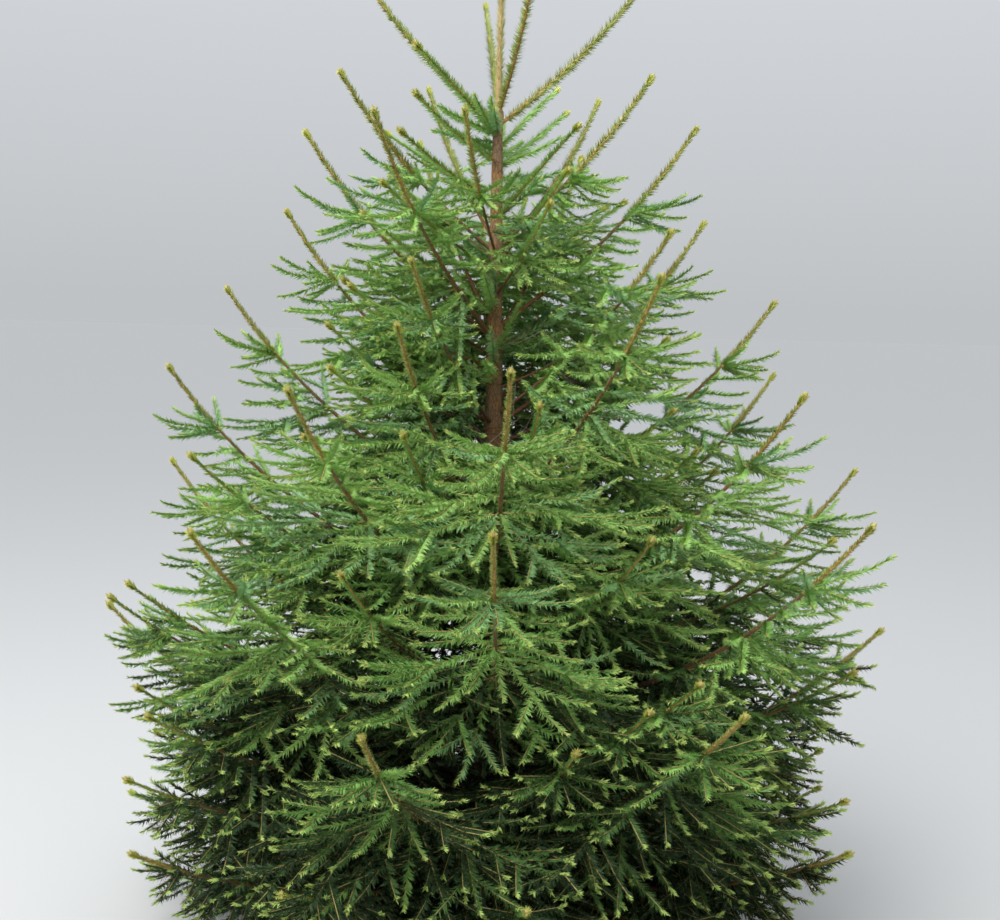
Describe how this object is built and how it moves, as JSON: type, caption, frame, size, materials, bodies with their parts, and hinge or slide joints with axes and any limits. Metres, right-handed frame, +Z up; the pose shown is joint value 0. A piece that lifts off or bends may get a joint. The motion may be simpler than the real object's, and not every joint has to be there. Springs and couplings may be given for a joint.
{
  "type": "spruce tree",
  "caption": "Young spruce with a straight tapering trunk, whorls of upturned boughs and dense sprays of needles down to the ground, ending in a long leading shoot.",
  "frame": {"origin": "centre of the flat cut under the trunk, at ground level", "axes": "+Z up along the trunk, -Y towards the viewer of the reference view, +X to that viewer's right"},
  "size_m": [1.8793, 1.8597, 2.559],
  "materials": {
    "bark": "rough grey-brown young bark with orange-brown scales",
    "branch_bark": "matt orange-brown twig bark, ribbed",
    "needles": "satin green needles, fresher at the tips of the shoots",
    "leader_needles": "yellow-green needles on a pale tan shoot"
  },
  "bodies": {
    "root": {"trunk": "bark", "leader_needles": "leader_needles", "bough_6_1": "branch_bark", "bough_6_2": "branch_bark", "bough_6_3": "branch_bark", "bough_6_4": "branch_bark", "bough_6_5": "branch_bark", "bough_6_6": "branch_bark", "bough_7_1": "branch_bark", "bough_7_2": "branch_bark", "bough_7_3": "branch_bark", "bough_7_4": "branch_bark", "bough_7_5": "branch_bark", "bough_7_6": "branch_bark", "foliage_1_1": "needles", "foliage_1_2": "needles", "foliage_1_3": "needles", "foliage_1_4": "needles", "foliage_2_1": "needles", "foliage_2_2": "needles", "foliage_2_3": "needles", "foliage_2_4": "needles", "foliage_2_5": "needles", "foliage_3_1": "needles", "foliage_3_2": "needles", "foliage_3_3": "needles", "foliage_3_4": "needles", "foliage_3_5": "needles", "foliage_4_1": "needles", "foliage_4_2": "needles", "foliage_4_3": "needles", "foliage_4_4": "needles", "foliage_4_5": "needles", "foliage_5_1": "needles", "foliage_5_2": "needles", "foliage_5_3": "needles", "foliage_5_4": "needles", "foliage_5_5": "needles", "foliage_6_1": "needles", "foliage_6_2": "needles", "foliage_6_3": "needles", "foliage_6_4": "needles", "foliage_6_5": "needles", "foliage_6_6": "needles", "foliage_7_1": "needles", "foliage_7_2": "needles", "foliage_7_3": "needles", "foliage_7_4": "needles", "foliage_7_5": "needles", "foliage_7_6": "needles", "foliage_8_1": "needles", "foliage_8_2": "needles", "foliage_8_3": "needles", "foliage_8_4": "needles", "foliage_8_5": "needles", "foliage_9_1": "needles", "foliage_9_2": "needles", "foliage_9_3": "needles", "foliage_9_4": "needles", "foliage_9_5": "needles"}
  },
  "joints": []
}
